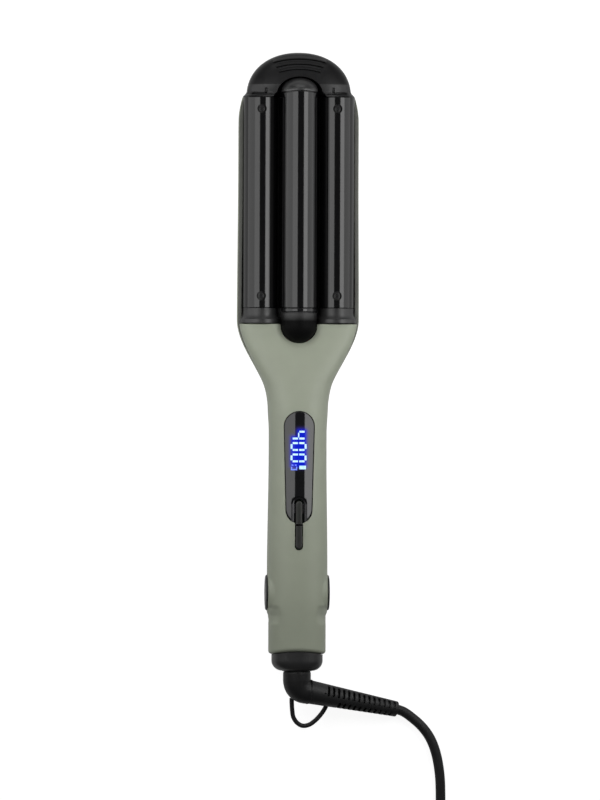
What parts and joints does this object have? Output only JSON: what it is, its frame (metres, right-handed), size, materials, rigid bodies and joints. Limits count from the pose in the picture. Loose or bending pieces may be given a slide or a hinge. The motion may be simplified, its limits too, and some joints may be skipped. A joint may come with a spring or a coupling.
{
  "type": "hair waver",
  "caption": "Handheld deep hair waver: two hinged arms with barrels that nest, a display and rocker key on the grip, and a swivel mains cord.",
  "frame": {"origin": "on the rest face under the hinge axis, at the middle of the waver's width", "axes": "+Y towards the cool tip, +Z towards the display side, +X to the right seen from the display side"},
  "size_m": [0.1506, 0.4891, 0.0312],
  "materials": {
    "sage_shell": "satin soft-touch",
    "black_matte": "matte",
    "black_gloss": "polished",
    "barrel_coat": "glossy ceramic coat",
    "steel": "satin",
    "contact_brass": "satin",
    "white_ceramic": "matte",
    "socket_plastic": "matte",
    "board_green": "satin",
    "lead_red": "satin",
    "numeral_light": "lit",
    "cord_rubber": "matte",
    "tie_fabric": "matte"
  },
  "bodies": {
    "rear_arm": {"rear_shell": "sage_shell", "rear_cover": "black_matte", "rear_liner": "black_matte", "rear_bracket": "black_gloss", "left_barrel": "barrel_coat", "right_barrel": "barrel_coat", "left_heater": "white_ceramic", "right_heater": "white_ceramic", "barrel_screws": "black_matte", "cool_tip": "black_matte", "rear_leads": "lead_red", "rear_cover_screws": "steel", "hinge_pin": "steel", "hinge_spring": "steel"},
    "front_arm": {"left_hinge_cap": "black_matte", "right_hinge_cap": "black_matte", "front_shell": "sage_shell", "front_cover": "black_matte", "barrel_neck": "black_matte", "centre_barrel": "barrel_coat", "centre_cap": "black_matte", "centre_heater": "white_ceramic", "display_lens": "black_gloss", "display_module": "black_gloss", "display_digits": "numeral_light", "circuit_board": "board_green", "key_switches": "steel", "key_pin": "steel", "front_leads": "lead_red", "front_cover_screws": "steel", "tail_back": "sage_shell", "tail_cap": "black_matte", "swivel_socket": "socket_plastic", "contact_springs": "contact_brass"},
    "key": {"rocker_key": "black_gloss"},
    "swivel": {"swivel_elbow": "black_matte", "contact_rings": "contact_brass", "strain_relief": "cord_rubber", "hanging_loop": "cord_rubber", "cord_lead": "cord_rubber", "cord_coil": "cord_rubber", "cord_tail": "cord_rubber", "cord_tie": "tie_fabric", "plug_body": "black_matte", "plug_pins": "steel"}
  },
  "joints": [
    {"name": "jaw_hinge", "type": "hinge", "parent": "rear_arm", "child": "front_arm", "pos_m": [0, 0, 0.015], "axis": [1, 0, 0], "range_deg": [0, 14]},
    {"name": "key_rock", "type": "hinge", "parent": "front_arm", "child": "key", "pos_m": [0, 0.0358, 0.0254], "axis": [1, 0, 0], "range_deg": [-2.5, 2.5], "stiffness_Nm_per_rad": 0.05},
    {"name": "cord_swivel", "type": "hinge", "parent": "front_arm", "child": "swivel", "pos_m": [0, -0.0412, 0.017], "axis": [0, 1, 0], "continuous": true}
  ]
}
